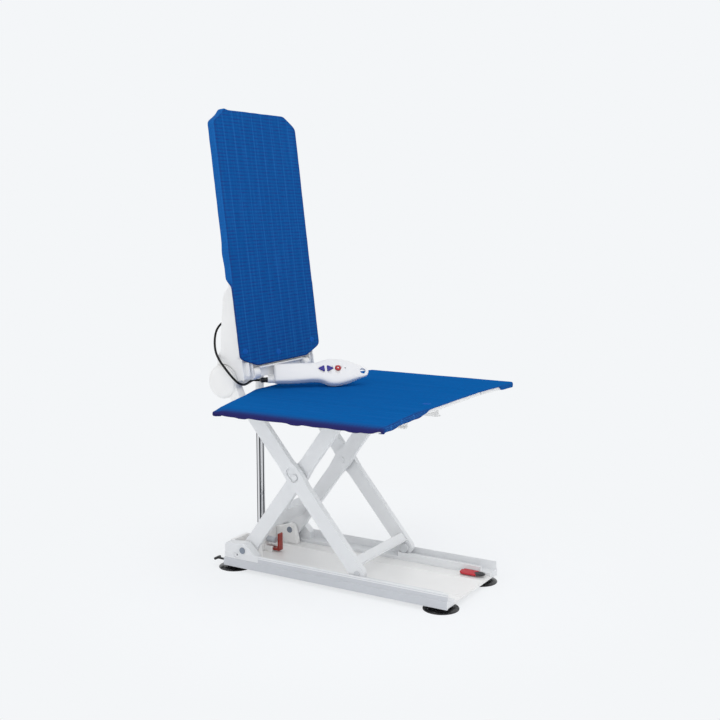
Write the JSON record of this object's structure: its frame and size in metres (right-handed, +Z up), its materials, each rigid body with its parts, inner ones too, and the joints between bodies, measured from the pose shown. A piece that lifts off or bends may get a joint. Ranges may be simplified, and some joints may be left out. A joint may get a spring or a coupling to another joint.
{
  "type": "bath lift",
  "caption": "Battery bath lift: scissor frame on suction feet raises a fabric-covered seat with fold-up side flaps and a reclining backrest, worked from a corded handset.",
  "frame": {"origin": "on the floor under the suction rims, below the middle of the lift's box", "axes": "+Z up, -Y the way the sitter faces, +X the sitter's left"},
  "size_m": [0.7246, 0.6934, 1.1749],
  "materials": {
    "black_plastic": "matte",
    "black_rubber": "matte",
    "blue_fabric": "fine ribbed weave",
    "chromed_steel": "polished",
    "dark_red_plastic": "satin",
    "grey_nylon": "matte",
    "grey_plastic": "matte",
    "red_plastic": "satin",
    "violet_button_plastic": "satin",
    "white_moulded_plastic": "satin moulded",
    "white_painted_steel": "satin powder coat",
    "zinc_plated_steel": "zinc plated"
  },
  "bodies": {
    "backrest": {"backrest_cover": "blue_fabric", "backrest_panel": "white_moulded_plastic", "backrest_shell": "white_moulded_plastic", "cord_gland": "grey_plastic", "drive_unit": "grey_plastic"},
    "base": {"base_pivot_pin_left": "zinc_plated_steel", "base_pivot_pin_right": "zinc_plated_steel", "base_tray": "white_moulded_plastic", "foot_clevis": "white_moulded_plastic", "lock_bolt": "zinc_plated_steel", "pivot_cheek_left": "white_moulded_plastic", "pivot_cheek_right": "white_moulded_plastic", "rail_left": "white_moulded_plastic", "rail_right": "white_moulded_plastic", "rear_wall": "white_moulded_plastic", "suction_cup_front_left": "black_rubber", "suction_cup_front_right": "black_rubber", "suction_cup_rear_left": "black_rubber", "suction_cup_rear_right": "black_rubber"},
    "outer_arms": {"base_roller_left": "grey_nylon", "base_roller_right": "grey_nylon", "crossing_pin_left": "zinc_plated_steel", "crossing_pin_right": "zinc_plated_steel", "outer_arm_left": "white_painted_steel", "outer_arm_right": "white_painted_steel", "outer_cross_plate": "white_painted_steel"},
    "button_down": {"button_down": "violet_button_plastic"},
    "button_stop": {"button_stop": "red_plastic"},
    "button_up": {"button_up": "violet_button_plastic"},
    "seat": {"cord_connector": "black_plastic", "flap_hinge_rod_left": "zinc_plated_steel", "flap_hinge_rod_right": "zinc_plated_steel", "hand_cord": "black_rubber", "handset_front_shell": "white_moulded_plastic", "handset_rear_shell": "white_moulded_plastic", "hub_pin_left": "white_moulded_plastic", "hub_pin_right": "white_moulded_plastic", "rear_bracket_left": "white_moulded_plastic", "rear_bracket_right": "white_moulded_plastic", "seat_board": "white_moulded_plastic", "seat_cover": "blue_fabric", "seat_rail_left": "white_moulded_plastic", "seat_rail_right": "white_moulded_plastic"},
    "flap_left": {"flap_board_left": "white_moulded_plastic", "flap_cover_left": "blue_fabric"},
    "flap_right": {"flap_board_right": "white_moulded_plastic", "flap_cover_right": "blue_fabric"},
    "foot_latch": {"foot_latch": "dark_red_plastic"},
    "front_release": {"front_release": "red_plastic"},
    "inner_arms": {"inner_arm_left": "white_painted_steel", "inner_arm_right": "white_painted_steel", "inner_cross_member": "white_painted_steel", "seat_slider_left": "grey_nylon", "seat_slider_right": "grey_nylon"},
    "lift_tube": {"lift_tube": "chromed_steel", "tube_foot": "zinc_plated_steel"},
    "rear_pull_left": {"rear_pull_left": "black_plastic"},
    "rear_pull_right": {"rear_pull_right": "black_plastic"}
  },
  "joints": [
    {"name": "lift", "type": "hinge", "parent": "base", "child": "inner_arms", "pos_m": [0, 0.25375, 0.0575], "axis": [1, 0, 0], "range_deg": [0, 49]},
    {"name": "crossing", "type": "hinge", "parent": "inner_arms", "child": "outer_arms", "pos_m": [0, 0.09676, 0.2685], "axis": [1, 0, 0], "range_deg": [-94.64, 0]},
    {"name": "seat_level", "type": "hinge", "parent": "outer_arms", "child": "seat", "pos_m": [0, 0.23717, 0.43461], "axis": [1, 0, 0], "range_deg": [0, 45.64]},
    {"name": "recline", "type": "hinge", "parent": "seat", "child": "backrest", "pos_m": [0, 0.29175, 0.499], "axis": [-1, 0, 0], "range_deg": [0, 40], "deforming": ["hand_cord"]},
    {"name": "tube_tilt", "type": "hinge", "parent": "base", "child": "lift_tube", "pos_m": [0, 0.29275, 0.06], "axis": [-1, 0, 0], "range_deg": [0, 40]},
    {"name": "latch_pull", "type": "slide", "parent": "base", "child": "foot_latch", "axis": [0, -1, 0], "range_m": [0, 0.01], "stiffness_N_per_m": 500},
    {"name": "front_release_lift", "type": "hinge", "parent": "base", "child": "front_release", "pos_m": [0.088, -0.25825, 0.0239], "axis": [-1, 0, 0], "range_deg": [0, 25]},
    {"name": "flap_left", "type": "hinge", "parent": "seat", "child": "flap_left", "pos_m": [0.1885, -0.05225, 0.4706], "axis": [0, -1, 0], "range_deg": [0, 85]},
    {"name": "rear_pull_left", "type": "slide", "parent": "base", "child": "rear_pull_left", "axis": [0, 1, 0], "range_m": [0, 0.012], "stiffness_N_per_m": 500},
    {"name": "flap_right", "type": "hinge", "parent": "seat", "child": "flap_right", "pos_m": [-0.1885, -0.05225, 0.4706], "axis": [0, 1, 0], "range_deg": [0, 85]},
    {"name": "rear_pull_right", "type": "slide", "parent": "base", "child": "rear_pull_right", "axis": [0, 1, 0], "range_m": [0, 0.012], "stiffness_N_per_m": 500},
    {"name": "button_down_press", "type": "slide", "parent": "seat", "child": "button_down", "axis": [0.5988, 0.5123, -0.6157], "range_m": [0, 0.0012], "stiffness_N_per_m": 800},
    {"name": "button_up_press", "type": "slide", "parent": "seat", "child": "button_up", "axis": [0.5988, 0.5123, -0.6157], "range_m": [0, 0.0012], "stiffness_N_per_m": 800},
    {"name": "button_stop_press", "type": "slide", "parent": "seat", "child": "button_stop", "axis": [0.5988, 0.5123, -0.6157], "range_m": [0, 0.0012], "stiffness_N_per_m": 800}
  ],
  "couplings": [
    {"joint": "crossing", "follows": "lift", "ratio": -1.911},
    {"joint": "seat_level", "follows": "lift", "ratio": 0.91102}
  ]
}
